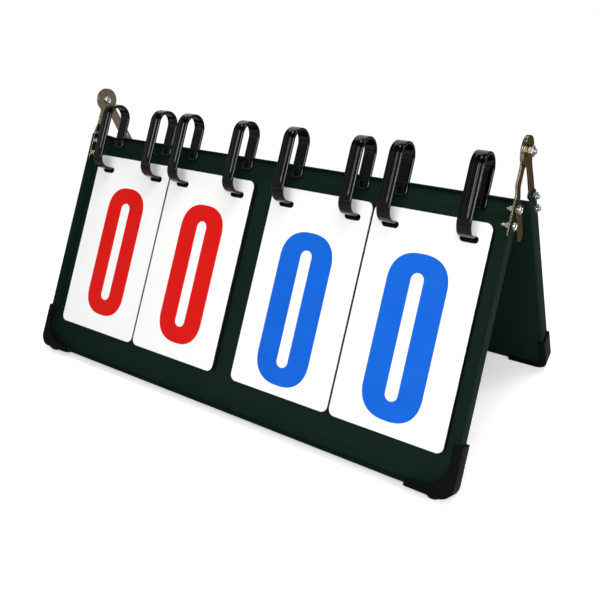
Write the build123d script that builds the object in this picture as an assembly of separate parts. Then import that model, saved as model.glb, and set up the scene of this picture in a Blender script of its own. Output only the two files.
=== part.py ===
from build123d import *
import math
import os

# Tabletop flip scoreboard: two sheet-metal trays hinged into a tent, with four stacks
# of number cards that hang on eight moulded loops.
# Millimetres, +Z up. The origin is on the ground, under the middle of the hinge line.
#
# Every piece is first made in the board's own frame: X to the right, Z up the board
# from its lower edge, and "depth" forward from the sheet's face, which is -Y.
# on_front() and on_rear() then lean it about the hinge line.

# Boards
board_width = 390.0
board_height = 191.0
sheet = 0.8
rim_depth = 10.0            # how far the rims stand forward of the sheet's face
bend_radius = 1.4           # outside of the fold between sheet and rim
corner_radius = 5.0         # lower corners of the tray
relief_width = 2.3          # gap between the top rim's end and the side rim
bead_drop = 10.6            # from the board's top edge down to the pressed crease
bead_width = 2.6
bead_press = 0.5
bead_margin = 8.0           # from the crease's end to the board's side

# Tent
lean = 26.0                 # each board from upright
hinge_rise = 32.0           # hinge line, above the board's top edge
hinge_depth = 5.2           # hinge line, forward of the sheet's face
rear_sheet_drop = 6.0       # from the board's top edge down to the rear sheet's edge
ear_drop = 2.5              # from the board's top edge down to the rear side rims' ends
ear_round = 2.0

# Cards
cards_in_stack = 10
centre_gap = 18.8           # between the two inner cards
card_height = 150.0
card_corner = 5.0
card_thickness = 0.4
card_air = 0.1              # between two cards
card_drop = 17.4            # from the board's top edge down to the cards' top edges
card_back = 1.0             # air behind the rearmost card
side_margin = 12.0          # from the board's side to the outer cards
pair_gap = 1.6              # between the two cards of a pair
slot_width = 13.0
slot_height = 5.0
slot_inset = 14.25          # from the card's side to a slot's middle
slot_drop = 9.65            # from the card's top edge down to the slot's top edge

# Loops
loop_width = 10.0
strap = 2.2                 # thickness of the loop's strap
loop_reach = 22.5           # from the sheet's face to the front leg's outer face
loop_rise = 27.5            # arch's top above the board's top edge
hook_radius = 15.0          # bend under the front leg, on the strap's middle
hang_gap = 0.25             # between a slot's top edge and the strap that carries it
tip_gap = 0.35              # between the hook's tip and the sheet
tip_corner = 2.5
loop_foot_drop = 9.0        # from the board's top edge down to the back leg's end
rib_width = 4.0             # raised rib on the strap's outer face
rib_height = 0.5
rib_margin = 3.0            # between the rib's ends and the board's top or the hook
notch_gap = 0.6             # between the strap's edge and the top rim's notch

# Loop rivets
rivet_drop = 4.9            # from the board's top edge down to the rivet
rivet_shank = 2.6
rivet_head = 5.0
rivet_head_height = 1.0
rivet_tail = 4.0
rivet_tail_height = 0.6

# Corner caps
cap_up = 34.0
cap_along = 31.0
cap_wall = 1.7
cap_web = 1.4               # in front of the rims
cap_lip = 1.0               # behind the sheet
cap_fit = 0.1
cap_round = 0.8
web_edge = 4.0              # web's width at the ends of the cap's legs
web_sweep = 18.0            # radius of the web's hollow corner
lip_edge = 3.5
foot_radius = 7.0
foot_centre = 2.5           # of the foot's ball, up the board
foot_inset = 12.0           # from the board's side
foot_flat = 0.5             # depth of the flat that stands on the table

# Hinge plates and lever
plate = 1.2
plate_gap = 0.1             # between the two heads, head and nut, rim and lever
head_radius = 10.0
neck_width = 8.0
neck_drop = 20.0            # from the hinge line down to where the leaf starts to widen
leaf_width = 8.8
shoulder_drop = 28.0
leaf_drop = 24.5            # from the board's top edge down to the leaf's end
outline_round = 5.0
joggle_low = 2.5            # front plate's bend inward, above the board's top edge
joggle_high = 9.0
joggle_round = 1.2
lever_length = 21.0         # between the middles of its round ends
lever_width = 8.4
lever_swing = 47.0          # back from the board's own down direction

# Pivots and leaf screws
bolt_fit = 0.05             # radial, in every hole
pivot_shank = 4.0
pivot_head = 7.0
pivot_head_height = 2.2
pivot_nut = 7.0             # across flats
pivot_nut_height = 3.2
pivot_end = 1.5             # thread beyond the nut
screw_shank = 3.0
screw_head = 6.0
screw_head_height = 2.2
screw_nut = 5.5             # across flats
screw_nut_height = 2.4
front_screw_length = 7.5
rear_screw_length = 6.0
screw_drops = (5.8, 16.6)   # from the board's top edge
head_round = 0.8

# Worked out from the sizes above
half_width = board_width / 2
card_width = (board_width - 2 * side_margin - 2 * pair_gap - centre_gap) / 4
slot_spacing = card_width - 2 * slot_inset
hinge_height = board_height + hinge_rise
loop_top = board_height + loop_rise
bead_height = board_height - bead_drop
card_pitch = card_thickness + card_air
card_top = board_height - card_drop
slot_top = card_top - slot_drop
run_height = slot_top - hang_gap - strap / 2
hook_height = run_height + hook_radius
leg_depth = loop_reach - strap / 2
arch_depth = loop_reach / 2
arch_height = loop_top - loop_reach / 2
arch_radius = arch_depth - strap / 2
hook_depth = leg_depth - hook_radius
overrun = 20.0              # how far a cutting shape passes its work
leaf_side = half_width - sheet - plate
front_head_side = leaf_side - plate - plate_gap
nut_side = leaf_side + plate + plate_gap
lever_side = half_width + plate_gap
foot_drop = (hinge_height - foot_centre) * math.cos(math.radians(lean))
axis_height = foot_drop + foot_radius - foot_flat

board_plane = Plane(origin=(0, 0, 0), x_dir=(1, 0, 0), z_dir=(0, -1, 0))
side_plane = Plane(origin=(0, 0, 0), x_dir=(0, -1, 0), z_dir=(-1, 0, 0))


def through_board(sketch, near, far):
    """Solid from a sketch drawn on the board's face, between two depths."""
    return extrude(board_plane.offset(near) * sketch, amount=far - near)


def across_board(sketch, left, right):
    """Solid from a sketch of depth and height, between two places along X."""
    return Pos(right, 0, 0) * extrude(side_plane * sketch, amount=right - left)


def rectangle(left, right, low, high):
    """Rectangle between two pairs of edges."""
    centre = Pos((left + right) / 2, (low + high) / 2)
    return centre * Rectangle(right - left, high - low)


def on_front(part):
    """Leans a piece with the front board."""
    to_hinge = Pos(0, hinge_depth, -hinge_height)
    return Pos(0, 0, axis_height) * Rot(-lean, 0, 0) * to_hinge * part


def on_rear(part):
    """Turns a piece round and leans it with the rear board."""
    to_hinge = Pos(0, hinge_depth, -hinge_height)
    return Pos(0, 0, axis_height) * Rot(lean, 0, 0) * Rot(0, 0, 180) * to_hinge * part


def handed(part, side):
    """A piece made for the right side, or its mirror image for the left."""
    return part if side > 0 else mirror(part, about=Plane.YZ)


def group(pieces):
    """Separate solids that share one node."""
    return Compound([piece.solid() for piece in pieces])


def card_centres():
    """Middles of the four stacks along X."""
    inner = centre_gap / 2 + card_width / 2
    outer = inner + card_width + pair_gap
    return [-outer, -inner, inner, outer]


def loop_centres():
    """Middles of the eight loops along X, two for each stack."""
    return [x + end * slot_spacing / 2 for x in card_centres() for end in (-1, 1)]


def screw_heights():
    """Heights of the leaf screws up the board."""
    return [board_height - drop for drop in screw_drops]


# Boards

def tray_outline(inset):
    """The board's outline with round lower corners, drawn in by inset."""
    edge = half_width - inset
    face = rectangle(-edge, edge, inset, board_height - inset)
    lower = face.vertices().sort_by(Axis.Y)[:2]
    return fillet(lower, corner_radius - inset)


def tray():
    """Pressed sheet tray: a sheet with four rims that stand forward."""
    body = through_board(tray_outline(0), -sheet, rim_depth)
    body = fillet(body.faces().sort_by(Axis.Y)[-1].edges(), bend_radius)
    hollow = through_board(tray_outline(sheet), 0, rim_depth + overrun)
    hollow = fillet(hollow.faces().sort_by(Axis.Y)[-1].edges(), bend_radius - sheet)
    body -= hollow
    rim_inside = half_width - sheet
    relief = rectangle(rim_inside - relief_width, rim_inside, board_height - bend_radius, board_height + overrun)
    for side in (-1, 1):
        body -= handed(through_board(relief, bend_radius - sheet, rim_depth + overrun), side)
        for height in screw_heights():
            hole = Pos(hinge_depth, height) * Circle(screw_shank / 2 + bolt_fit)
            body -= handed(across_board(hole, rim_inside - sheet, half_width + sheet), side)
    return body


def crease_bar(radius, depth):
    """Round-ended bar along X at the crease's height."""
    reach = half_width - bead_margin
    bar = across_board(Pos(depth, bead_height) * Circle(radius), -reach, reach)
    for end in (-reach, reach):
        bar += Pos(end, -depth, bead_height) * Sphere(radius)
    return bar


def front_tray():
    """Tray with the pressed crease, and the notches and holes for the loops."""
    body = tray()
    groove = (bead_width ** 2 / 4 + bead_press ** 2) / (2 * bead_press)
    middle = groove - bead_press
    behind = rectangle(-half_width, half_width, 0, board_height)
    ridge = crease_bar(groove + sheet, middle) & through_board(behind, -overrun, -sheet / 2)
    body += ridge
    body -= crease_bar(groove, middle)
    notch_low = board_height - bend_radius
    for x in loop_centres():
        reach = loop_width / 2 + notch_gap
        notch = rectangle(x - reach, x + reach, notch_low, board_height + overrun)
        body -= through_board(notch, 0, rim_depth + overrun)
        hole = Pos(x, board_height - rivet_drop) * Circle(rivet_shank / 2 + bolt_fit)
        body -= through_board(hole, -sheet - bead_press, sheet)
    return body


def rear_tray():
    """Tray without its top rim: the sheet ends lower and the side rims stand past it."""
    body = tray()
    inside, sheet_top = half_width - sheet, board_height - rear_sheet_drop
    middle = rectangle(-inside, inside, sheet_top, board_height + overrun)
    body -= through_board(middle, -overrun, rim_depth + overrun)
    fold = rectangle(-board_width, board_width, sheet_top, board_height + overrun)
    body -= through_board(fold, -overrun, bend_radius - sheet)
    ends = rectangle(-board_width, board_width, board_height - ear_drop, board_height + overrun)
    body -= through_board(ends, -overrun, rim_depth + overrun)
    corners = body.edges().filter_by(Axis.X).sort_by(Axis.Z)[-4:]
    return fillet(corners, ear_round)


# Cards

def card_face():
    """Card's outline with its two oblong slots."""
    face = Pos(0, card_top - card_height / 2) * RectangleRounded(card_width, card_height, card_corner)
    for end in (-1, 1):
        centre = Pos(end * slot_spacing / 2, slot_top - slot_height / 2)
        face -= centre * SlotOverall(slot_width, slot_height)
    return face


def card(x, place):
    """One card of a stack, counted from the back."""
    near = card_back + place * card_pitch
    return Pos(x, 0, 0) * through_board(card_face(), near, near + card_thickness)


def front_card(x):
    """The card that shows."""
    return card(x, cards_in_stack - 1)


def card_stack(x):
    """All the cards behind the one that shows."""
    return group([card(x, place) for place in range(cards_in_stack - 1)])


# Loops

def arch_band(near, far, back_low, front_low):
    """Arch and both legs, between two distances outward from the strap's middle."""
    ring = Pos(arch_depth, arch_height) * (Circle(arch_radius + far) - Circle(arch_radius + near))
    above = rectangle(-overrun, loop_reach + overrun, arch_height, loop_top + overrun)
    back = rectangle(arch_depth - arch_radius - far, arch_depth - arch_radius - near, back_low, arch_height)
    front = rectangle(leg_depth + near, leg_depth + far, front_low, arch_height)
    return (ring & above) + back + front


def hook_band():
    """Quarter bend under the front leg, and the run back through the cards' slots."""
    ring = Circle(hook_radius + strap / 2) - Circle(hook_radius - strap / 2)
    reach = hook_radius + strap
    bend = Pos(hook_depth, hook_height) * (ring & rectangle(0, reach, -reach, 0))
    run = rectangle(tip_gap, hook_depth, run_height - strap / 2, run_height + strap / 2)
    return bend + run


def loop(x):
    """Moulded loop: riveted back leg, arch, front leg and hook, with an outer rib."""
    foot = board_height - loop_foot_drop
    profile = arch_band(-strap / 2, strap / 2, foot, hook_height) + hook_band()
    body = across_board(profile, -loop_width / 2, loop_width / 2)
    tip = body.edges().filter_by(Axis.Z).sort_by(Axis.Y)
    tip_edges = [edge for edge in tip if abs(edge.center().Y + tip_gap) < strap / 10]
    body = fillet(tip_edges, tip_corner)
    foot_edges = body.edges().filter_by(Axis.Y).sort_by(Axis.Z)
    foot_edges = [edge for edge in foot_edges if abs(edge.center().Z - foot) < strap / 10]
    body = fillet(foot_edges, tip_corner)
    rib = arch_band(strap / 2, strap / 2 + rib_height, board_height + rib_margin, hook_height + rib_margin)
    body += across_board(rib, -rib_width / 2, rib_width / 2)
    hole = Pos(0, board_height - rivet_drop) * Circle(rivet_shank / 2 + bolt_fit)
    body -= through_board(hole, -strap, 2 * strap)
    return Pos(x, 0, 0) * body


def loop_rivet(x):
    """Rivet with a domed head on the strap and a set tail behind the sheet."""
    centre = Pos(x, board_height - rivet_drop)
    head = through_board(centre * Circle(rivet_head / 2), strap, strap + rivet_head_height)
    head = fillet(head.faces().sort_by(Axis.Y)[0].edges(), head_round)
    shank = through_board(centre * Circle(rivet_shank / 2), -sheet, strap)
    tail = through_board(centre * Circle(rivet_tail / 2), -sheet - rivet_tail_height, -sheet)
    return head + shank + tail


# Corner caps

def cap():
    """Right-hand corner cap: two walls, a hollow-cornered web, a thin back lip, a ball foot."""
    wall = cap_fit + cap_wall
    face = rectangle(half_width - cap_along, half_width + wall, -wall, cap_up)
    outer = face.vertices().sort_by(Axis.X)[2:].sort_by(Axis.Y)
    face = fillet(outer[0], corner_radius + wall)
    block = through_board(face, -sheet - cap_fit - cap_lip, rim_depth + cap_fit + cap_web)
    rims = block.edges().filter_by(lambda edge: abs(edge.tangent_at(0.5).Y) < 0.5)
    rims = [edge for edge in rims if (edge @ 0.5).X > half_width or (edge @ 0.5).Z < 0]
    block = fillet(rims, cap_round)
    grown = tray_outline(-cap_fit)
    block -= through_board(grown, -sheet - cap_fit, rim_depth + cap_fit)
    window = rectangle(0, half_width - web_edge, web_edge, cap_up + overrun)
    corner = window.vertices().sort_by(Axis.X)[2:].sort_by(Axis.Y)[0]
    block -= through_board(fillet(corner, web_sweep), sheet, rim_depth + overrun)
    behind = rectangle(0, half_width - lip_edge, lip_edge, cap_up + overrun)
    corner = behind.vertices().sort_by(Axis.X)[2:].sort_by(Axis.Y)[0]
    block -= through_board(fillet(corner, corner_radius), -overrun, 0)
    ball = Pos(half_width - foot_inset, -hinge_depth, foot_centre) * Sphere(foot_radius)
    below = rectangle(0, half_width + overrun, -overrun, -cap_fit - cap_wall / 2)
    return block + (ball & through_board(below, -overrun, rim_depth + overrun))


def above_ground(part):
    """Cuts the foot flat where it stands."""
    reach = 2 * board_width
    ground = Pos(0, 0, -overrun / 2) * Box(reach, reach, overrun)
    return part - ground


# Hinge plates and their fasteners

def plate_outline(hole):
    """Spoon outline of a hinge plate in depth and height, with its three holes."""
    head = Pos(hinge_depth, hinge_height) * Circle(head_radius)
    low = board_height - leaf_drop + leaf_width / 2
    shoulder = hinge_height - shoulder_drop
    neck = hinge_height - neck_drop
    leaf, half = leaf_width / 2, neck_width / 2
    corners = [(-leaf, low), (-leaf, shoulder), (-half, neck), (-half, hinge_height)]
    corners += [(-x, z) for x, z in reversed(corners)]
    body = Pos(hinge_depth, 0) * make_face(Polyline(*corners, close=True))
    outline = head + body + Pos(hinge_depth, low) * Circle(leaf)
    bends = outline.vertices().filter_by(lambda v: shoulder - 1 < v.Y < hinge_height)
    outline = fillet(bends, outline_round)
    outline -= Pos(hinge_depth, hinge_height) * Circle(hole)
    for height in screw_heights():
        outline -= Pos(hinge_depth, height) * Circle(screw_shank / 2 + bolt_fit)
    return outline


def front_plate():
    """Spoon with its leaf inside the front rim and its head bent further in."""
    low, high = board_height + joggle_low, board_height + joggle_high
    end, top = 0, hinge_height + head_radius + overrun
    near = [(leaf_side, end), (leaf_side, low), (front_head_side, high), (front_head_side, top)]
    far = [(x + plate, z) for x, z in reversed(near)]
    face = make_face(Polyline(*near, *far, close=True))
    bends = face.vertices().filter_by(lambda v: low - 1 < v.Y < high + 1)
    sheet_bent = through_board(fillet(bends, joggle_round), -overrun, rim_depth + overrun)
    outline = plate_outline(pivot_shank / 2 + bolt_fit)
    return across_board(outline, front_head_side - overrun, nut_side + overrun) & sheet_bent


def rear_plate():
    """Flat spoon with its leaf inside the rear rim and its head outside the front one."""
    outline = plate_outline(pivot_shank / 2 + 2 * bolt_fit)
    return across_board(outline, leaf_side, leaf_side + plate)


def lever():
    """Round-ended link outside the front rim, swung back about the upper right screw."""
    axis = Pos(hinge_depth, screw_heights()[0])
    link = SlotCenterToCenter(lever_length, lever_width)
    outline = axis * Rot(0, 0, -90 - lever_swing) * Pos(lever_length / 2, 0) * link
    outline -= axis * Circle(screw_shank / 2 + bolt_fit)
    return across_board(outline, lever_side, lever_side + plate)


def headed(head, length_head, shank, start, end, height):
    """Screw along X: its head outward of start, its shank from start to end."""
    way = 1 if end > start else -1
    centre = Pos(hinge_depth, height)
    seat = sorted((start - way * length_head, start))
    top = across_board(centre * Circle(head / 2), *seat)
    outer = top.faces().sort_by(Axis.X)[0 if way > 0 else -1]
    top = fillet(outer.edges(), head_round)
    return top + across_board(centre * Circle(shank / 2), *sorted((start, end)))


def nut(flats, shank, low, high, height):
    """Hexagon nut along X between two places."""
    centre = Pos(hinge_depth, height)
    corner = flats / math.sqrt(3)
    face = centre * (RegularPolygon(corner, 6) - Circle(shank / 2 + bolt_fit))
    return across_board(face, low, high)


def pivot_bolt():
    """Bolt through both heads, its own head on the inner side."""
    end = nut_side + pivot_nut_height + pivot_end
    return headed(pivot_head, pivot_head_height, pivot_shank, front_head_side, end, hinge_height)


def pivot_nut_right():
    """Nut outside the rear plate's head."""
    return nut(pivot_nut, pivot_shank, nut_side, nut_side + pivot_nut_height, hinge_height)


def front_screw(height, lift):
    """Leaf screw of the front board: head outside the rim, end inside the tray."""
    start = half_width + lift
    return headed(screw_head, screw_head_height, screw_shank, start, start - front_screw_length, height)


def front_screws():
    """The four front leaf screws, of which the upper right one also holds the lever."""
    upper, lower = screw_heights()
    right = [front_screw(upper, plate_gap + plate), front_screw(lower, 0)]
    left = [handed(front_screw(height, 0), -1) for height in (upper, lower)]
    return group(right + left)


def front_nut(height):
    """Nut of a front leaf screw, inside on the leaf."""
    return nut(screw_nut, screw_shank, leaf_side - screw_nut_height, leaf_side, height)


def rear_screw(height):
    """Leaf screw of the rear board: head inside on the leaf, end outside the rim."""
    end = leaf_side + rear_screw_length
    return headed(screw_head, screw_head_height, screw_shank, leaf_side, end, height)


def rear_nut(height):
    """Nut of a rear leaf screw, outside the rim."""
    return nut(screw_nut, screw_shank, half_width, half_width + screw_nut_height, height)


def both_sides(pieces):
    """The right-hand pieces and their mirror images, as one group."""
    return group([handed(piece, side) for side in (1, -1) for piece in pieces])


def build_nodes():
    """Every node by name, in its place."""
    nodes = {"front_board": on_front(front_tray()), "rear_board": on_rear(rear_tray())}
    for number, x in enumerate(loop_centres(), 1):
        nodes[f"loop_{number}"] = on_front(loop(x))
    for number, x in enumerate(card_centres(), 1):
        nodes[f"front_card_{number}"] = on_front(front_card(x))
        nodes[f"card_stack_{number}"] = on_front(card_stack(x))
    nodes["loop_rivets"] = on_front(group([loop_rivet(x) for x in loop_centres()]))
    for name, side in (("left", -1), ("right", 1)):
        nodes[f"front_{name}_cap"] = above_ground(on_front(handed(cap(), side)))
        nodes[f"rear_{name}_cap"] = above_ground(on_rear(handed(cap(), -side)))
        nodes[f"front_{name}_plate"] = on_front(handed(front_plate(), side))
        nodes[f"rear_{name}_plate"] = on_rear(handed(rear_plate(), -side))
    heights = screw_heights()
    nodes["pivot_bolts"] = on_front(both_sides([pivot_bolt()]))
    nodes["pivot_nuts"] = on_front(both_sides([pivot_nut_right()]))
    nodes["right_lever"] = on_front(lever())
    nodes["front_plate_screws"] = on_front(front_screws())
    nodes["front_plate_nuts"] = on_front(both_sides([front_nut(z) for z in heights]))
    nodes["rear_plate_screws"] = on_rear(both_sides([rear_screw(z) for z in heights]))
    nodes["rear_plate_nuts"] = on_rear(both_sides([rear_nut(z) for z in heights]))
    return nodes


os.makedirs("parts", exist_ok=True)
for node_name, shape in build_nodes().items():
    export_step(shape, f"parts/{node_name}.step")
print("hinge line", round(axis_height, 3), "above the ground")
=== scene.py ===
import math

import bpy
import numpy as np
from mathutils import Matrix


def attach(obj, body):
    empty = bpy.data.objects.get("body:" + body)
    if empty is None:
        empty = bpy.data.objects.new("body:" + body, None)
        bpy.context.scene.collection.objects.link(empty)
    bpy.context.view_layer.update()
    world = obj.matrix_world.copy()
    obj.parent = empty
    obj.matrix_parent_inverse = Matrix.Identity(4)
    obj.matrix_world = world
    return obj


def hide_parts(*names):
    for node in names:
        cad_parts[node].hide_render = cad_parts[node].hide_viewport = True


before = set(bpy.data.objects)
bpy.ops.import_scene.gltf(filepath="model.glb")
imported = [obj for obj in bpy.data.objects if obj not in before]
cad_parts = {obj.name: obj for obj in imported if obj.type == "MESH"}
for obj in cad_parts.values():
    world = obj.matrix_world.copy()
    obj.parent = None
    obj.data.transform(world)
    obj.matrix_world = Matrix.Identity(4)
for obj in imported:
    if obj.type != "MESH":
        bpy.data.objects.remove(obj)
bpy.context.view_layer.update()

# Sizes of the CAD part, in millimetres. Board frame: across, forward of the sheet, up the board.
mm = 0.001
lean = math.radians(26)
hingeHeight, hingeDepth, axisHeight = 223.0, 5.2, 204.684
boardHalf, boardHeight, sheetThickness = 195.0, 191.0, 0.8
tiny = 1e-6  # less than any size of the object


# across, forward, up on the front board to metres in the room: turned by the lean about the hinge line
def onFront(points):
    across, forward, up = np.moveaxis(np.asarray(points, float), -1, 0)
    rise, reach = up - hingeHeight, forward - hingeDepth
    y = rise * math.sin(lean) - reach * math.cos(lean)
    z = axisHeight + rise * math.cos(lean) + reach * math.sin(lean)
    return np.stack([across, y, z], -1) * mm


# the same on the rear board: the front board's place turned half round about the upright
def onRear(points):
    return onFront(points) * (-1, -1, 1)


# "#rrggbb" as linear light: the sRGB curve undone for each channel
def linear(colour):
    parts = [int(colour[i:i + 2], 16) / 255 for i in (1, 3, 5)]
    return [c / 12.92 if c <= 0.04045 else ((c + 0.055) / 1.055) ** 2.4 for c in parts] + [1]


# a node with its settings and its socket values; a value that is a socket becomes a link
def addNode(tree, kind, inputs=None, **settings):
    node = tree.nodes.new(kind)
    for name, value in settings.items():
        setattr(node, name, value)
    for name, value in (inputs or {}).items():
        if isinstance(value, bpy.types.NodeSocket):
            tree.links.new(value, node.inputs[name])
        else:
            node.inputs[name].default_value = value
    return node


def newMaterial(name):
    material = bpy.data.materials.new(name)
    material.use_nodes = True
    material.node_tree.nodes.clear()
    return material, material.node_tree


def finishMaterial(material, shader):
    addNode(material.node_tree, "ShaderNodeOutputMaterial", {"Surface": shader.outputs[0]})
    return material


# sockets of a Mix node that mixes colours, which share their names with others
firstColour, secondColour, mixedColour = 6, 7, 2

# In the looks below, the sizes of patterns, their depths and the rounding of edges are in millimetres.

# powder-coated steel, dark green: orange peel breaks up a soft sheen, and the coat rounds every cut edge
boardLook = {
    "light": "#14291f", "dark": "#0e1f18", "roughness": 0.58, "specular": 0.055,
    "peel": 0.9, "peelDepth": 0.02, "bump": 0.5, "cloud": 60, "edge": 0.35,
}


def boardPaint():
    look = boardLook
    material, tree = newMaterial("board_powder_coat")
    place = addNode(tree, "ShaderNodeTexCoord").outputs["Object"]
    peel = addNode(tree, "ShaderNodeTexNoise", {
        "Vector": place, "Scale": 1 / (look["peel"] * mm), "Detail": 2.0})
    cloud = addNode(tree, "ShaderNodeTexNoise", {
        "Vector": place, "Scale": 1 / (look["cloud"] * mm), "Detail": 3.0})
    tone = addNode(tree, "ShaderNodeMix", {
        "Factor": cloud.outputs["Fac"], firstColour: linear(look["dark"]),
        secondColour: linear(look["light"])}, data_type="RGBA")
    edge = addNode(tree, "ShaderNodeBevel", {"Radius": look["edge"] * mm}, samples=6)
    bump = addNode(tree, "ShaderNodeBump", {
        "Height": peel.outputs["Fac"], "Distance": look["peelDepth"] * mm, "Strength": look["bump"],
        "Normal": edge.outputs["Normal"]})
    shader = addNode(tree, "ShaderNodeBsdfPrincipled", {
        "Base Color": tone.outputs[mixedColour], "Roughness": look["roughness"],
        "Specular IOR Level": look["specular"], "Normal": bump.outputs["Normal"]})
    return finishMaterial(material, shader)


# injection-moulded ABS: glossy black, with faint flow waves that make the highlights on the straps wander
loopLook = {
    "colour": "#020203", "roughness": 0.1, "specular": 0.42, "flow": 7, "flowDepth": 0.03, "bump": 0.5,
}


def glossyMoulding():
    look = loopLook
    material, tree = newMaterial("loop_gloss_abs")
    place = addNode(tree, "ShaderNodeTexCoord").outputs["Object"]
    flow = addNode(tree, "ShaderNodeTexNoise", {
        "Vector": place, "Scale": 1 / (look["flow"] * mm), "Detail": 2.0})
    bump = addNode(tree, "ShaderNodeBump", {
        "Height": flow.outputs["Fac"], "Distance": look["flowDepth"] * mm, "Strength": look["bump"]})
    shader = addNode(tree, "ShaderNodeBsdfPrincipled", {
        "Base Color": linear(look["colour"]), "Roughness": look["roughness"],
        "Specular IOR Level": look["specular"], "Normal": bump.outputs["Normal"]})
    return finishMaterial(material, shader)


# spark-eroded polypropylene: a fine grain dulls the black to satin
capLook = {
    "colour": "#060707", "roughness": 0.45, "specular": 0.07, "grain": 0.35, "grainDepth": 0.03, "bump": 0.5,
    "edge": 0.4,
}


def satinMoulding():
    look = capLook
    material, tree = newMaterial("cap_satin_polypropylene")
    place = addNode(tree, "ShaderNodeTexCoord").outputs["Object"]
    grain = addNode(tree, "ShaderNodeTexNoise", {
        "Vector": place, "Scale": 1 / (look["grain"] * mm), "Detail": 2.0})
    edge = addNode(tree, "ShaderNodeBevel", {"Radius": look["edge"] * mm}, samples=6)
    bump = addNode(tree, "ShaderNodeBump", {
        "Height": grain.outputs["Fac"], "Distance": look["grainDepth"] * mm, "Strength": look["bump"],
        "Normal": edge.outputs["Normal"]})
    shader = addNode(tree, "ShaderNodeBsdfPrincipled", {
        "Base Color": linear(look["colour"]), "Roughness": look["roughness"],
        "Specular IOR Level": look["specular"], "Normal": bump.outputs["Normal"]})
    return finishMaterial(material, shader)


# calendered white PVC sheet: smooth and softly glossy, very slightly wavy; painted shade: cut edges are
# painted dark as shade, and so is everything between the cards of a pile, behind the depth of its first face
sheetLook = {
    "colour": "#f3f3f1", "cut": "#101613", "roughness": 0.42, "specular": 0.2,
    "wave": 25, "waveDepth": 0.1, "bump": 0.3, "paintedShadeFacing": 0.6, "faceFacing": 0.9, "pileFace": 5.3,
}


def cardSheet(name, inPile):
    look = sheetLook
    material, tree = newMaterial(name)
    place = addNode(tree, "ShaderNodeTexCoord").outputs
    outward = (0, -math.cos(lean), math.sin(lean))
    along = addNode(tree, "ShaderNodeVectorMath", {0: place["Normal"], 1: outward}, operation="DOT_PRODUCT")
    facing = addNode(tree, "ShaderNodeMath", {0: along.outputs["Value"]}, operation="ABSOLUTE")
    # painted shade: the less a face looks outward, as on the cut edges, the more of the dark colour it takes
    share = addNode(tree, "ShaderNodeMapRange", {
        "Value": facing.outputs[0], "From Min": look["paintedShadeFacing"], "From Max": look["faceFacing"]}).outputs[0]
    # painted shade: in a pile, every face behind the depth of the first face takes the dark colour
    if inPile:
        face = float(onFront([0, look["pileFace"], 0]) @ outward)
        depth = addNode(tree, "ShaderNodeVectorMath", {
            0: place["Object"], 1: outward}, operation="DOT_PRODUCT")
        first = addNode(tree, "ShaderNodeMath", {
            0: depth.outputs["Value"], 1: face}, operation="GREATER_THAN")
        share = addNode(tree, "ShaderNodeMath", {
            0: share, 1: first.outputs[0]}, operation="MULTIPLY").outputs[0]
    # the "cut" colour is the painted shade; white is the sheet's own colour
    tone = addNode(tree, "ShaderNodeMix", {
        "Factor": share, firstColour: linear(look["cut"]), secondColour: linear(look["colour"])},
        data_type="RGBA")
    wave = addNode(tree, "ShaderNodeTexNoise", {
        "Vector": place["Object"], "Scale": 1 / (look["wave"] * mm), "Detail": 1.0})
    bump = addNode(tree, "ShaderNodeBump", {
        "Height": wave.outputs["Fac"], "Distance": look["waveDepth"] * mm, "Strength": look["bump"]})
    shader = addNode(tree, "ShaderNodeBsdfPrincipled", {
        "Base Color": tone.outputs[mixedColour], "Roughness": look["roughness"],
        "Specular IOR Level": look["specular"], "Normal": bump.outputs["Normal"]})
    return finishMaterial(material, shader)


# screen-printed ink: flat and saturated, its cover a little uneven
inkLook = {
    "red": ("#cd100d", "#d41813"), "blue": ("#0a59c6", "#1064d2"), "roughness": 0.5, "specular": 0.1,
    "cover": 18,
}


def printedInk(colour):
    look = inkLook
    full, thin = look[colour]
    material, tree = newMaterial(f"ink_{colour}_screen_print")
    place = addNode(tree, "ShaderNodeTexCoord").outputs["Object"]
    cover = addNode(tree, "ShaderNodeTexNoise", {
        "Vector": place, "Scale": 1 / (look["cover"] * mm), "Detail": 4.0})
    tone = addNode(tree, "ShaderNodeMix", {
        "Factor": cover.outputs["Fac"], firstColour: linear(full), secondColour: linear(thin)},
        data_type="RGBA")
    shader = addNode(tree, "ShaderNodeBsdfPrincipled", {
        "Base Color": tone.outputs[mixedColour], "Roughness": look["roughness"],
        "Specular IOR Level": look["specular"]})
    return finishMaterial(material, shader)


# nickel-plated stamped steel: warm grey mirror, broken by tumbling marks, bright along its stamped edges
# and browner where it is seen at a glancing angle
nickelLook = {
    "colour": "#b4a68e", "glancing": "#6c665e", "smooth": 0.12, "worn": 0.28,
    "marks": 2.5, "marksDepth": 0.02, "bump": 0.5, "edge": 0.3,
}


def nickelPlate():
    look = nickelLook
    material, tree = newMaterial("hinge_bright_nickel")
    place = addNode(tree, "ShaderNodeTexCoord").outputs["Object"]
    marks = addNode(tree, "ShaderNodeTexNoise", {
        "Vector": place, "Scale": 1 / (look["marks"] * mm), "Detail": 5.0})
    rough = addNode(tree, "ShaderNodeMapRange", {
        "Value": marks.outputs["Fac"], "To Min": look["smooth"], "To Max": look["worn"]})
    edge = addNode(tree, "ShaderNodeBevel", {"Radius": look["edge"] * mm}, samples=6)
    bump = addNode(tree, "ShaderNodeBump", {
        "Height": marks.outputs["Fac"], "Distance": look["marksDepth"] * mm, "Strength": look["bump"],
        "Normal": edge.outputs["Normal"]})
    shader = addNode(tree, "ShaderNodeBsdfPrincipled", {
        "Base Color": linear(look["colour"]), "Metallic": 1.0, "Specular Tint": linear(look["glancing"]),
        "Roughness": rough.outputs[0], "Normal": bump.outputs["Normal"]})
    return finishMaterial(material, shader)


# bright zinc plate on the fasteners: cooler and lighter than the nickel
zincLook = {"colour": "#c4c6c5", "smooth": 0.15, "worn": 0.3, "marks": 0.8}


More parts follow.
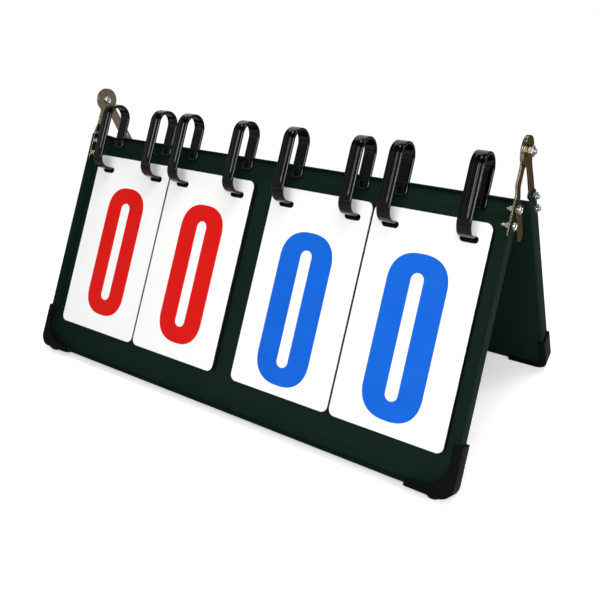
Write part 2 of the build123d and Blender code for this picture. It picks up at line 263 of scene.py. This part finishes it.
def zincPlate():
    look = zincLook
    material, tree = newMaterial("fastener_bright_zinc")
    place = addNode(tree, "ShaderNodeTexCoord").outputs["Object"]
    marks = addNode(tree, "ShaderNodeTexNoise", {
        "Vector": place, "Scale": 1 / (look["marks"] * mm), "Detail": 4.0})
    rough = addNode(tree, "ShaderNodeMapRange", {
        "Value": marks.outputs["Fac"], "To Min": look["smooth"], "To Max": look["worn"]})
    shader = addNode(tree, "ShaderNodeBsdfPrincipled", {
        "Base Color": linear(look["colour"]), "Metallic": 1.0, "Roughness": rough.outputs[0]})
    return finishMaterial(material, shader)


# A part is its points, quads and triangles.
noTriangles = np.zeros((0, 3), int)


# quads of a rows x columns grid of points; either way round can close on itself
def gridFaces(rows, columns, closeRows=False, closeColumns=False):
    i = np.arange(rows - (not closeRows))[:, None]
    j = np.arange(columns - (not closeColumns))[None, :]
    i, j = np.broadcast_arrays(i, j)
    a, b = (i + 1) % rows, (j + 1) % columns
    return np.stack([i * columns + j, i * columns + b, a * columns + b, a * columns + j], -1).reshape(-1, 4)


# triangles from a ring of points to one point
def fanFaces(ring, centre, flip=False):
    faces = np.stack([np.roll(ring, -1), ring, np.full_like(ring, centre)], -1)
    return faces[:, ::-1] if flip else faces


# faces of a tube of rows x columns points, closed by fans to the two points that come after them
def tubeFaces(rows, columns, flip=False):
    ring, total = np.arange(columns), rows * columns
    quads = gridFaces(rows, columns, closeColumns=True)
    fans = np.concatenate([fanFaces(ring, total), fanFaces(ring + total - columns, total + 1, True)])
    return (quads[:, ::-1], fans[:, ::-1]) if flip else (quads, fans)


# several parts as one
def joinParts(parts):
    points, quads, triangles, start = [], [], [], 0
    for p, q, t in parts:
        points.append(p)
        quads.append(q + start)
        triangles.append(t + start)
        start += len(p)
    return np.concatenate(points), np.concatenate(quads), np.concatenate(triangles)


# a part taken from a board into the room
def placed(part, board):
    points, quads, triangles = part
    return board(points), quads, triangles


# a mesh from a part, with its material, body and colour slot, in place of the CAD nodes it stands for
def newPiece(name, part, material, body, replaced=(), flat=False):
    points, quads, triangles = part
    mesh = bpy.data.meshes.new(name)
    mesh.vertices.add(len(points))
    mesh.vertices.foreach_set("co", np.asarray(points, np.float32).ravel())
    mesh.loops.add(quads.size + triangles.size)
    corners = np.concatenate([quads.ravel(), triangles.ravel()])
    mesh.loops.foreach_set("vertex_index", corners.astype(np.int32))
    mesh.polygons.add(len(quads) + len(triangles))
    starts = np.concatenate([np.arange(len(quads)) * 4, quads.size + np.arange(len(triangles)) * 3])
    mesh.polygons.foreach_set("loop_start", starts.astype(np.int32))
    mesh.polygons.foreach_set("use_smooth", np.full(len(starts), not flat))
    mesh.update(calc_edges=True)
    mesh.validate()
    mesh.materials.append(material)
    piece = bpy.data.objects.new(name, mesh)
    bpy.context.scene.collection.objects.link(piece)
    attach(piece, body)
    for node in replaced:
        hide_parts(node)
    return piece


# smooth step from 0 to 1 between two values
def ramp(values, low, high):
    t = np.clip((values - low) / (high - low), 0, 1)
    return t * t * (3 - 2 * t)


paint, moulding, satin = boardPaint(), glossyMoulding(), satinMoulding()
white, pile = cardSheet("card_white_pvc", False), cardSheet("card_pile_pvc", True)
red, blue = printedInk("red"), printedInk("blue")
nickel, zinc = nickelPlate(), zincPlate()
print("materials made")

cadLooks = {"front_board": paint, "rear_board": paint, "right_lever": nickel}
for side in ("left", "right"):
    for board in ("front", "rear"):
        cadLooks[f"{board}_{side}_plate"] = nickel
for number in range(1, 5):
    cadLooks[f"front_card_{number}"] = white
    cadLooks[f"card_stack_{number}"] = pile
for node, look in cadLooks.items():
    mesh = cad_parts[node].data
    mesh.materials.clear()
    mesh.materials.append(look)
print("CAD nodes painted")


# corner cap: its two arms, the web in front of the tray's rims, the lip behind its sheet, and the foot
capShape = {
    "along": 31.0, "up": 34.0, "fit": 0.1, "wall": 1.8, "front": 11.5, "webBack": 10.1, "back": -1.9,
    "lipFront": -0.9, "edge": 0.8, "outerRound": 9.5, "trayRound": 5.1,
    "webInset": 4.0, "webRound": 18.0, "lipInset": 3.5, "lipRound": 5.0,
    "footInset": 12.0, "footUp": 2.5, "footRadius": 7.0, "footTop": -0.95, "sharpAngle": 35,
    "edgeSteps": 6, "insideSteps": 12, "armSteps": 9, "turnSteps": 25, "footRings": 11, "footSides": 40,
}


# right-hand corner cap: a C-shaped section whose every point follows its own rounded corner
# (straight, quarter circle, straight) round the tray's corner
def capPart():
    shape = capShape
    edge = shape["edge"]
    outer, tip = shape["wall"] - edge, shape["outerRound"] - edge
    quarter = np.linspace(0, math.pi / 2, shape["edgeSteps"])
    arc = np.stack([outer + edge * np.cos(quarter), tip + edge * np.cos(quarter), edge * np.sin(quarter)], -1)
    backEdge = arc[::-1] * (1, 1, -1) + (0, 0, shape["back"] + edge)
    frontEdge = arc + (0, 0, shape["front"] - edge)
    depths = np.linspace(shape["webBack"], shape["lipFront"], shape["insideSteps"])
    inside = np.stack([shape["fit"] + 0 * depths, shape["trayRound"] + 0 * depths, depths], -1)
    web, lip = (-shape["webInset"], shape["webRound"]), (-shape["lipInset"], shape["lipRound"])
    section = np.concatenate([
        [(*lip, shape["back"])], backEdge, frontEdge, [(*web, shape["front"]), (*web, shape["webBack"])],
        inside, [(*lip, shape["lipFront"])]])
    out, radius, forward = section.T
    arm = np.linspace(0, 1, shape["armSteps"] + 1)[:-1, None]
    turn = np.linspace(0, math.pi / 2, shape["turnSteps"])[:, None]
    side, start, top = boardHalf + out, boardHalf - shape["along"], shape["up"]
    across = np.concatenate([
        start + (side - radius - start) * arm, side - radius + radius * np.sin(turn), side + 0 * arm])
    up = np.concatenate([
        -out + 0 * arm, radius - out - radius * np.cos(turn), top - (top - radius + out) * arm[::-1]])
    rows, columns = across.shape
    points = np.stack([across, forward + 0 * across, up], -1).reshape(-1, 3)
    step = np.arange(columns // 2 - 1)
    end = np.stack([step, columns - 1 - step, columns - 2 - step, step + 1], -1)
    ends = np.concatenate([end, end[:, ::-1] + (rows - 1) * columns])
    return points, np.concatenate([gridFaces(rows, columns, closeColumns=True), ends]), noTriangles


# ball foot: rings of a sphere from its lowest point up to where the cap hides it
def footPart():
    shape = capShape
    radius, rings, sides = shape["footRadius"], shape["footRings"], shape["footSides"]
    hidden = math.acos((shape["footUp"] - shape["footTop"]) / radius)
    fall = np.linspace(0, hidden, rings + 1)[1:, None]
    spin = np.linspace(0, 2 * math.pi, sides + 1)[None, :-1]
    ball = np.stack([np.sin(fall) * np.cos(spin), np.sin(fall) * np.sin(spin), -np.cos(fall) + 0 * spin], -1)
    middle = np.array([boardHalf - shape["footInset"], hingeDepth, shape["footUp"]])
    ends = middle + np.array([[0, 0, -radius], [0, 0, shape["footTop"] - shape["footUp"]]])
    return np.concatenate([(middle + radius * ball).reshape(-1, 3), ends]), *tubeFaces(rings, sides)


for board, place in (("front", onFront), ("rear", onRear)):
    for side, way in (("right", 1), ("left", -1)):
        points, quads, triangles = joinParts([capPart(), footPart()])
        handed = way if board == "front" else -way
        points = place(points * (handed, 1, 1))
        points[:, 2] = np.maximum(points[:, 2], 0)  # the foot is flat where it stands on the table
        if handed > 0:
            quads, triangles = quads[:, ::-1], triangles[:, ::-1]
        cap, body = f"{board}_{side}_cap", f"{board}_frame"
        piece = newPiece(f"{cap}_moulded", (points, quads, triangles), satin, body, [cap])
        piece.data.set_sharp_from_angle(angle=math.radians(capShape["sharpAngle"]))
print("corner caps made")


strapLook = {
    "thickness": 2.2, "width": 10.0, "edge": 0.8, "footDrop": 9.0, "rise": 27.5, "reach": 22.5,
    "hookRadius": 9.0, "runHeight": 162.6, "tip": 0.35, "tipCorner": 2.5, "tipThin": 0.35, "spacing": 57.5,
    "rib": 0.5, "ribHalf": 2.0, "ribSlope": 0.35, "ribMargin": 3.0, "ribFade": 1.0, "archFade": (0.35, 0.8),
    "ribColumns": (2.6, 2.35, 2.1, 1.85, 1.6, 0.8), "innerHalf": 3.0, "innerColumns": 5, "edgeSteps": 6,
    "legSteps": 14, "archSteps": 33, "bendSteps": 22, "runSteps": 12,
}
cardCentres = (-140.0, -52.4, 52.4, 140.0)


# middle line of the strap as forward, up, outward normal and length so far:
# up the back leg, half circle over, down the front leg, quarter circle, straight back
def strapPath():
    look = strapLook
    half, hook, arch = look["thickness"] / 2, look["hookRadius"], look["reach"] / 2
    foot = boardHeight - look["footDrop"]
    radius, archUp = arch - half, boardHeight + look["rise"] - arch
    hookUp, hookDepth = look["runHeight"] + hook, look["reach"] - half - hook
    back = foot + (archUp - foot) * ramp(np.linspace(0, 0.5, look["legSteps"]), 0, 1) * 2
    turn = np.linspace(math.pi, 0, look["archSteps"])[1:]
    leg = np.linspace(archUp, hookUp, look["legSteps"])[1:]
    bend = np.linspace(0, -math.pi / 2, look["bendSteps"])[1:]
    run = hookDepth + (look["tip"] - hookDepth) * np.sin(np.linspace(0, math.pi / 2, look["runSteps"]))[1:]
    stretches = (
        (half, back, -1, 0),
        (arch + radius * np.cos(turn), archUp + radius * np.sin(turn), np.cos(turn), np.sin(turn)),
        (look["reach"] - half, leg, 1, 0),
        (hookDepth + hook * np.cos(bend), hookUp + hook * np.sin(bend), np.cos(bend), np.sin(bend)),
        (run, look["runHeight"], 0, -1))
    path = np.concatenate([np.stack(np.broadcast_arrays(*stretch)) for stretch in stretches], 1)
    forward, up, outForward, outUp = path
    along = np.concatenate([[0], np.cumsum(np.hypot(np.diff(forward), np.diff(up)))])
    return forward, up, outForward, outUp, along


# one loop: a rounded-edge section carried along the path, with a raised rib on the outer face
# that fades out at the board, over the arch and above the hook, and corners rounded off at both ends
def loopPart(x):
    look = strapLook
    half, edge, wide = look["thickness"] / 2, look["edge"], look["width"] / 2
    forward, up, outForward, outUp, along = strapPath()
    quarter = np.linspace(0, math.pi / 2, look["edgeSteps"])
    corner = np.stack([wide - edge + edge * np.cos(quarter), half - edge + edge * np.sin(quarter)], -1)
    ribs = np.array(look["ribColumns"])
    ribs = np.concatenate([ribs, [0], -ribs[::-1]])
    outer = np.stack([ribs, np.full_like(ribs, half)], -1)
    inner = np.linspace(-look["innerHalf"], look["innerHalf"], look["innerColumns"])
    inner = np.stack([inner, np.full_like(inner, -half)], -1)
    section = np.concatenate([
        corner, outer, corner[::-1] * (-1, 1), corner * (-1, -1), inner, corner[::-1] * (1, -1)])
    across, height = section.T[:, None, :]
    rib = 1 - ramp(np.abs(across), look["ribHalf"] - look["ribSlope"], look["ribHalf"] + look["ribSlope"])
    hookEnd = look["runHeight"] + look["hookRadius"] + look["ribMargin"]
    ribEnd = np.where(outForward < 0.5, boardHeight + look["ribMargin"], hookEnd)
    started = ramp(up, ribEnd - look["ribFade"], ribEnd + look["ribFade"])
    started = started * (1 - ramp(outUp, *look["archFade"]))
    height = height + (height > half - tiny) * rib * look["rib"] * started[:, None]
    toEnd = np.minimum(along, along[-1] - along)
    into = np.clip(toEnd / look["tipCorner"], 0, 1)
    cut = look["tipCorner"] * (1 - np.sqrt(1 - (1 - into) ** 2))
    across = across * (1 - cut / wide)[:, None]
    thin, rounding = look["tipThin"], np.sqrt(1 - (1 - np.clip(toEnd / edge, 0, 1)) ** 2)
    height = height * (thin + (1 - thin) * rounding)[:, None]
    points = np.stack([
        x + across + 0 * height, forward[:, None] + outForward[:, None] * height,
        up[:, None] + outUp[:, None] * height], -1)
    ends = np.stack([points[0].mean(0), points[-1].mean(0)])
    return np.concatenate([points.reshape(-1, 3), ends]), *tubeFaces(*height.shape)


loopCentres = [x + end * strapLook["spacing"] / 2 for x in cardCentres for end in (-1, 1)]
for number, x in enumerate(loopCentres, 1):
    part = placed(loopPart(x), onFront)
    newPiece(f"loop_moulding_{number}", part, moulding, "front_frame", [f"loop_{number}"])
print("loops made")


# the four zeros as printed: middle across from the card's middle, middle up the board, width and height;
# of the one, the flag's reach to the left, its corners' distances below the top, and the width of the top
digitLook = {
    "zeros": (
        (1.9, 93.3, 41.7, 110.8), (1.4, 92.1, 43.0, 112.2),
        (-1.3, 87.3, 44.8, 113.3), (0.0, 89.1, 44.5, 113.4)),
    "slotWidth": 9.4, "stroke": 13.2, "round": 2.45, "sides": 192,
    "flag": 10.0, "flagInner": 34.0, "flagLow": 29.0, "flagHigh": 17.0, "topWidth": 9.0,
    "ink": 0.02, "frontFace": 5.9, "nextFace": 5.4,
}


# zero: a tall outline with super-elliptic ends, |x/a|^n + |y/a|^n = 1, round a narrow stadium slot
def zeroPart(x, middle, width, height):
    look = digitLook
    turn = np.linspace(0, 2 * math.pi, look["sides"] + 1)[:-1]
    c, s = np.cos(turn), np.sin(turn)

    def outline(half, tall, power):
        px = half * np.sign(c) * np.abs(c) ** (2 / power)
        py = half * np.sign(s) * np.abs(s) ** (2 / power)
        return px, py + np.sign(s) * (tall / 2 - half)

    outer = outline(width / 2, height, look["round"])
    inner = outline(look["slotWidth"] / 2, height - 2 * look["stroke"], 2.0)
    rows = [(outer, 0), (outer, look["ink"]), (inner, look["ink"]), (inner, 0)]
    face = look["frontFace"]
    points = np.stack([
        np.stack([x + px, np.full_like(px, face + lift), middle + py], -1) for (px, py), lift in rows])
    return points.reshape(-1, 3), gridFaces(len(rows), len(turn), True, True), noTriangles


# one, printed on the card behind: a stem with a slanted flag, its left edge stepping out near the top
def onePart(x, middle, height):
    look = digitLook
    half, top = look["stroke"] / 2, height / 2
    flag = -half - look["flag"]
    up = middle + np.array([
        -top, top - look["flagInner"], top - look["flagLow"], top - look["flagHigh"], top])
    left = x + np.array([-half, -half, flag, flag, half - look["topWidth"]])
    ring = np.concatenate([np.stack([left, up], -1), np.stack([np.full_like(up, x + half), up[::-1]], -1)])
    points = np.stack([np.insert(ring, 1, look["nextFace"] + lift, axis=1) for lift in (0, look["ink"])])
    count = len(ring)
    step = np.arange(len(up) - 1)
    front = np.stack([step, count - 1 - step, count - 2 - step, step + 1], -1)
    quads = np.concatenate([gridFaces(2, count, closeColumns=True)[:, ::-1], front + count, front[:, ::-1]])
    return points.reshape(-1, 3), quads, noTriangles


for number, (x, (shift, middle, width, height)) in enumerate(zip(cardCentres, digitLook["zeros"]), 1):
    ink = red if number < 3 else blue
    part = placed(zeroPart(x + shift, middle, width, height), onFront)
    newPiece(f"digit_zero_{number}", part, ink, f"card_{number}", flat=True)
    part = placed(onePart(x + shift, middle, height), onFront)
    newPiece(f"digit_one_{number}", part, ink, "front_frame", flat=True)
print("digits printed")


# points of a turned fastener along X, a radius and a distance along at each row and angle:
# place is its axis as depth and height on the board, and way is its direction across
def turned(radii, alongs, place, start, way, board):
    turn = np.linspace(0, 2 * math.pi, radii.shape[1], endpoint=False)
    across = start + way * (alongs + 0 * radii)
    points = np.stack([across, place[0] + radii * np.cos(turn), place[1] + radii * np.sin(turn)], -1)
    return board(points.reshape(-1, 3))


# a turned part closed at both ends by a point on the axis
def turnedPart(radii, alongs, place, start, way, board):
    points = turned(radii, alongs, place, start, way, board)
    ends = board(np.array([[start + way * alongs[end].mean(), *place] for end in (0, -1)]))
    return np.concatenate([points, ends]), *tubeFaces(*radii.shape, way > 0)


# screws: the head's rings as shares of its radius, its heights and the cross's depth as shares of its height,
# the cross's widths as shares of the recess, the thread and the point's length as shares of the pitch,
# and how far the radius tapers at the blunt point
screwLook = {
    "sides": 40, "rings": (0.06, 0.15, 0.25, 0.35, 0.45, 0.55, 0.66, 0.78, 0.88, 0.95, 0.99, 1.0),
    "rimHeight": 0.42, "domeReach": 0.98, "domePower": 2.6, "brim": (0.3, 0.1, 0.0),
    "arm": 0.16, "armFlat": 0.6, "crossFlat": 0.38, "crossEnd": 0.5, "crossDepth": 0.55,
    "stepsPerPitch": 8, "threadStart": 0.02, "threadDepth": 0.3,
    "pointLength": 0.8, "pointLeast": 0.25, "point": 0.8,
}


# pan-head screw: a head whose dome falls as the root of 1 less (share of its radius)^power, with a cross
# recess, then a shank of radius = half its width less thread depth x triangle wave of (turns + along / pitch)
def screwPart(head, headHeight, shank, length, pitch, recess):
    look = screwLook
    columns = look["sides"]
    turn = np.linspace(0, 2 * math.pi, columns, endpoint=False)[None, :]
    out = np.array(look["rings"])[:, None]
    r = out * head / 2
    bow = np.sqrt(np.clip(1 - (out * look["domeReach"]) ** look["domePower"], 0, 1))
    dome = headHeight * (look["rimHeight"] + (1 - look["rimHeight"]) * bow)
    x, y = np.abs(r * np.cos(turn)), np.abs(r * np.sin(turn))
    arm = recess * look["arm"]
    inArm = 1 - ramp(np.minimum(x, y), arm * look["armFlat"], arm)
    inReach = 1 - ramp(np.maximum(x, y), recess * look["crossFlat"], recess * look["crossEnd"])
    dome = dome - inArm * inReach * headHeight * look["crossDepth"]
    brim = np.repeat(-np.array(look["brim"])[:, None] * headHeight, columns, 1)
    along = np.linspace(look["threadStart"], length, int(length / pitch * look["stepsPerPitch"]))[:, None]
    wave = np.abs(((along / pitch + turn / (2 * math.pi)) % 1) * 2 - 1)
    taper = np.clip((length - along) / (look["pointLength"] * pitch), look["pointLeast"], 1)
    thread = (shank / 2 - look["threadDepth"] * pitch * wave) * (look["point"] + (1 - look["point"]) * taper)
    alongs = np.concatenate([-dome, brim, np.zeros((1, columns)), np.repeat(along, columns, 1)])
    radii = np.concatenate([
        np.repeat(r, columns, 1), np.full_like(brim, head / 2), np.full((1, columns), shank / 2), thread])
    return radii, alongs


# nuts: levels as shares of the height, and the chamfer cone's share of the flats at the faces and its slope
nutLook = {
    "sides": 72, "levels": (0, 0, 0.04, 0.09, 0.15, 0.22, 0.5, 0.78, 0.85, 0.91, 0.96, 1, 1),
    "face": 0.97, "slope": 1.73,
}


# hexagon nut: radius = smaller of the hexagon's and of the chamfer cone's, closed through the bore
def nutPart(place, start, way, board, flats, bore, height):
    look = nutLook
    turn = np.linspace(0, 2 * math.pi, look["sides"], endpoint=False)[None, :]
    hexagon = flats / 2 / np.cos((turn + math.pi / 6) % (math.pi / 3) - math.pi / 6)
    rise = np.array(look["levels"])[:, None] * height
    cone = flats / 2 * look["face"] + look["slope"] * np.minimum(rise, height - rise)
    radii = np.minimum(hexagon, cone)
    radii[0], radii[-1] = bore / 2, bore / 2
    points = turned(radii, np.repeat(rise, look["sides"], 1), place, start, way, board)
    quads = gridFaces(*radii.shape, True, True)
    return points, quads[:, ::-1] if way > 0 else quads, noTriangles


# sizes of the screws and nuts, heights of the leaf screws, places across where the rear screws, the pivot
# bolts and their nuts sit, and how far the lever lifts the screw that holds it
fastenerLook = {
    "pivotBolt": {"head": 7.0, "headHeight": 2.2, "shank": 4.0, "length": 7.3, "pitch": 0.7, "recess": 4.2},
    "frontScrew": {"head": 6.0, "headHeight": 2.2, "shank": 3.0, "length": 7.5, "pitch": 0.5, "recess": 3.6},
    "rearScrew": {"head": 6.0, "headHeight": 2.2, "shank": 3.0, "length": 6.0, "pitch": 0.5, "recess": 3.6},
    "pivotNut": {"flats": 7.0, "bore": 4.0, "height": 3.2},
    "leafNut": {"flats": 5.5, "bore": 3.0, "height": 2.4},
    "heights": (185.2, 174.4), "leaf": 193.0, "pivotHead": 191.7, "pivotNutSeat": 194.3, "lift": 1.3,
}


# every fastener of a node by the node's name, right side first
def fastenerPieces():
    look = fastenerLook
    bolt, frontScrew = screwPart(**look["pivotBolt"]), screwPart(**look["frontScrew"])
    rearScrew = screwPart(**look["rearScrew"])
    pivot, pivotNut, leafNut = (hingeDepth, hingeHeight), look["pivotNut"], look["leafNut"]
    names = (
        "pivot_bolts", "pivot_nuts", "front_plate_screws", "front_plate_nuts",
        "rear_plate_screws", "rear_plate_nuts")
    groups = {name: [] for name in names}
    for side in (1, -1):
        groups["pivot_bolts"].append(turnedPart(*bolt, pivot, side * look["pivotHead"], side, onFront))
        groups["pivot_nuts"].append(nutPart(pivot, side * look["pivotNutSeat"], side, onFront, **pivotNut))
        for height in look["heights"]:
            place, leaf = (hingeDepth, height), side * look["leaf"]
            lift = look["lift"] if side > 0 and height == look["heights"][0] else 0
            seat = side * (boardHalf + lift)
            groups["front_plate_screws"].append(turnedPart(*frontScrew, place, seat, -side, onFront))
            groups["front_plate_nuts"].append(nutPart(place, leaf, -side, onFront, **leafNut))
            groups["rear_plate_screws"].append(turnedPart(*rearScrew, place, leaf, side, onRear))
            groups["rear_plate_nuts"].append(nutPart(place, side * boardHalf, side, onRear, **leafNut))
    return groups


for node, parts in fastenerPieces().items():
    body = "rear_frame" if node.startswith("rear") else "front_frame"
    newPiece(f"{node}_turned", joinParts(parts), zinc, body, [node])
print("fasteners made")


# rivet: radius and height of the rings of its domed head, and of its set tail with a hollow in it
rivetLook = {
    "drop": 4.9, "seat": 2.2, "shank": 1.3, "sides": 32, "headTop": 1.0, "hollow": 0.12,
    "head": ((0.6, 0.98), (1.2, 0.9), (1.8, 0.7), (2.2, 0.45), (2.42, 0.25), (2.5, 0.1), (2.5, 0.0)),
    "tail": ((1.95, 0.0), (2.0, 0.15), (1.9, 0.45), (1.6, 0.6), (1.2, 0.5), (0.9, 0.2)),
}


# rivet turned about the forward direction: the rings of head, shank and tail at each angle,
# closed at both ends by a point on the axis
def rivetPart(x):
    look = rivetLook
    seat, back, middle = look["seat"], -sheetThickness, boardHeight - look["drop"]
    head = [(r, seat + h) for r, h in look["head"]]
    tail = [(r, back - h) for r, h in look["tail"]]
    rings = np.array([*head, (look["shank"], seat), (look["shank"], back), *tail])
    radius, forward = rings[:, :1], rings[:, 1:]
    turn = np.linspace(0, 2 * math.pi, look["sides"], endpoint=False)
    points = np.stack([x + radius * np.cos(turn), forward + 0 * turn, middle + radius * np.sin(turn)], -1)
    ends = [(x, seat + look["headTop"], middle), (x, back - look["hollow"], middle)]
    return np.concatenate([points.reshape(-1, 3), ends]), *tubeFaces(len(rings), len(turn), True)


rivets = placed(joinParts([rivetPart(x) for x in loopCentres]), onFront)
newPiece("loop_rivets_set", rivets, satin, "front_frame", ["loop_rivets"])
print("rivets made")


# white table top: lit and shaded near the object, plain white to the camera further out, and greyer in
# reflections; its distances are in metres
floorLook = {"colour": 0.9, "mirrored": 0.4, "glow": 0.42, "shadeEnd": 0.26, "whiteFrom": 0.5, "extent": 6.0}


def floorMaterial():
    look = floorLook
    material, tree = newMaterial("floor_white")
    place = addNode(tree, "ShaderNodeNewGeometry").outputs["Position"]
    away = addNode(tree, "ShaderNodeVectorMath", {0: place}, operation="LENGTH")
    far = addNode(tree, "ShaderNodeMapRange", {
        "Value": away.outputs["Value"], "From Min": look["shadeEnd"], "From Max": look["whiteFrom"]},
        interpolation_type="SMOOTHSTEP")
    rays = addNode(tree, "ShaderNodeLightPath").outputs
    seen = rays["Is Camera Ray"]
    tone = addNode(tree, "ShaderNodeMapRange", {
        "Value": rays["Is Glossy Ray"], "To Min": look["colour"], "To Max": look["mirrored"]})
    lit = addNode(tree, "ShaderNodeBsdfDiffuse", {"Color": tone.outputs[0]})
    strength = addNode(tree, "ShaderNodeMath", {0: seen, 1: look["glow"]}, operation="MULTIPLY")
    glow = addNode(tree, "ShaderNodeEmission", {"Color": (1, 1, 1, 1), "Strength": strength.outputs[0]})
    near = addNode(tree, "ShaderNodeAddShader", {0: lit.outputs[0], 1: glow.outputs[0]})
    plain = addNode(tree, "ShaderNodeEmission", {"Color": (1, 1, 1, 1), "Strength": 1.0})
    share = addNode(tree, "ShaderNodeMath", {0: far.outputs[0], 1: seen}, operation="MULTIPLY")
    shader = addNode(tree, "ShaderNodeMixShader", {
        0: share.outputs[0], 1: near.outputs[0], 2: plain.outputs[0]})
    return finishMaterial(material, shader)


extent = floorLook["extent"]
floorCorners = [(-extent, -extent, 0), (extent, -extent, 0), (extent, extent, 0), (-extent, extent, 0)]
floorMesh = bpy.data.meshes.new("floor")
floorMesh.from_pydata(floorCorners, [], [(0, 1, 2, 3)])
floorMesh.materials.append(floorMaterial())
floor = bpy.data.objects.new("floor", floorMesh)
bpy.context.scene.collection.objects.link(floor)

# the room: plain white to the camera; in reflections it is lighter on the left than in the middle,
# brightest far right, and dim overhead and behind; the limits are parts of a direction of length one
roomLook = {
    "ambient": 0.32, "left": 0.42, "middle": 0.25, "right": 0.7, "overhead": 0.12, "behind": 0.15,
    "leftTo": -0.1, "middleFrom": 0.2, "rightFrom": 0.4, "rightFull": 0.75, "low": 0.2, "high": 0.75,
    "near": 0.4, "far": 0.95,
}


def roomWorld():
    look = roomLook
    world = bpy.data.worlds.new("room")
    world.use_nodes = True
    tree = world.node_tree
    tree.nodes.clear()
    rays = addNode(tree, "ShaderNodeLightPath").outputs
    direction = addNode(tree, "ShaderNodeTexCoord").outputs["Generated"]
    way = addNode(tree, "ShaderNodeSeparateXYZ", {0: direction}).outputs
    changes = (
        ("X", "leftTo", "middleFrom", look["left"], look["middle"]),
        ("X", "rightFrom", "rightFull", 0, look["right"]),
        ("Z", "low", "high", 1, look["overhead"]), ("Y", "near", "far", 1, look["behind"]))
    toLeft, toRight, overhead, behind = [addNode(tree, "ShaderNodeMapRange", {
        "Value": way[axis], "From Min": look[start], "From Max": look[end], "To Min": first, "To Max": last})
        for axis, start, end, first, last in changes]
    sides = addNode(tree, "ShaderNodeMath", {
        0: toLeft.outputs[0], 1: toRight.outputs[0]}, operation="MAXIMUM")
    above = addNode(tree, "ShaderNodeMath", {
        0: sides.outputs[0], 1: overhead.outputs[0]}, operation="MULTIPLY")
    strength = addNode(tree, "ShaderNodeMath", {
        0: above.outputs[0], 1: behind.outputs[0]}, operation="MULTIPLY")
    ambient = addNode(tree, "ShaderNodeBackground", {"Color": (1, 1, 1, 1), "Strength": look["ambient"]})
    mirrored = addNode(tree, "ShaderNodeBackground", {"Color": (1, 1, 1, 1), "Strength": strength.outputs[0]})
    shown = addNode(tree, "ShaderNodeBackground", {"Color": (1, 1, 1, 1), "Strength": 1.0})
    bounced = addNode(tree, "ShaderNodeMath", {
        0: rays["Is Glossy Ray"], 1: rays["Is Transmission Ray"]}, operation="MAXIMUM")
    inside = addNode(tree, "ShaderNodeMixShader", {
        0: bounced.outputs[0], 1: ambient.outputs[0], 2: mirrored.outputs[0]})
    whole = addNode(tree, "ShaderNodeMixShader", {
        0: rays["Is Camera Ray"], 1: inside.outputs[0], 2: shown.outputs[0]})
    addNode(tree, "ShaderNodeOutputWorld", {"Surface": whole.outputs[0]})
    return world


bpy.context.scene.world = roomWorld()
print("floor and room made")

# lamps: place, what they point at and size in metres, power in watts
lampLook = {
    "key": {"place": (0.34, -0.95, 0.72), "target": (0.05, 0, 0.1), "size": (0.6, 0.6), "power": 7.1},
    "top": {"place": (0.4, -0.05, 1.45), "target": (0, 0, 0.1), "size": (0.42, 0.42), "power": 6},
    "side": {"place": (1.1, -0.35, 0.48), "target": (0.1, 0, 0.15), "size": (0.4, 0.16), "power": 3.6},
    "back": {"place": (-0.5, 0.85, 0.9), "target": (0, 0.05, 0.1), "size": (1.2, 1.2), "power": 4.0},
}


def areaLamp(name, place, target, size, power):
    light = bpy.data.lights.new(name, "AREA")
    light.shape = "RECTANGLE"
    light.size, light.size_y, light.energy = *size, power
    lamp = bpy.data.objects.new(name, light)
    lamp.location = place
    x, y, z = np.array(target) - np.array(place)
    lamp.rotation_euler = (math.atan2(math.hypot(x, y), -z), 0, math.atan2(y, x) - math.pi / 2)
    bpy.context.scene.collection.objects.link(lamp)


for name, lamp in lampLook.items():
    areaLamp(name, **lamp)

# camera: lens and sensor in millimetres, shift as shares of the frame, place in metres, turn in radians
cameraLook = {
    "lens": 43.455, "sensor": 36, "shift": (-0.04996, -0.09067),
    "place": (0.330404, -0.442967, 0.315719), "turn": (1.20053841, 0.01280154, 0.56894782),
}
camera = bpy.data.cameras.new("camera")
camera.lens, camera.sensor_width = cameraLook["lens"], cameraLook["sensor"]
camera.shift_x, camera.shift_y = cameraLook["shift"]
cameraObject = bpy.data.objects.new("camera", camera)
cameraObject.location = cameraLook["place"]
cameraObject.rotation_euler = cameraLook["turn"]
bpy.context.scene.collection.objects.link(cameraObject)
bpy.context.scene.camera = cameraObject
bpy.context.scene.view_settings.view_transform = "Standard"
print("lamps and camera set")
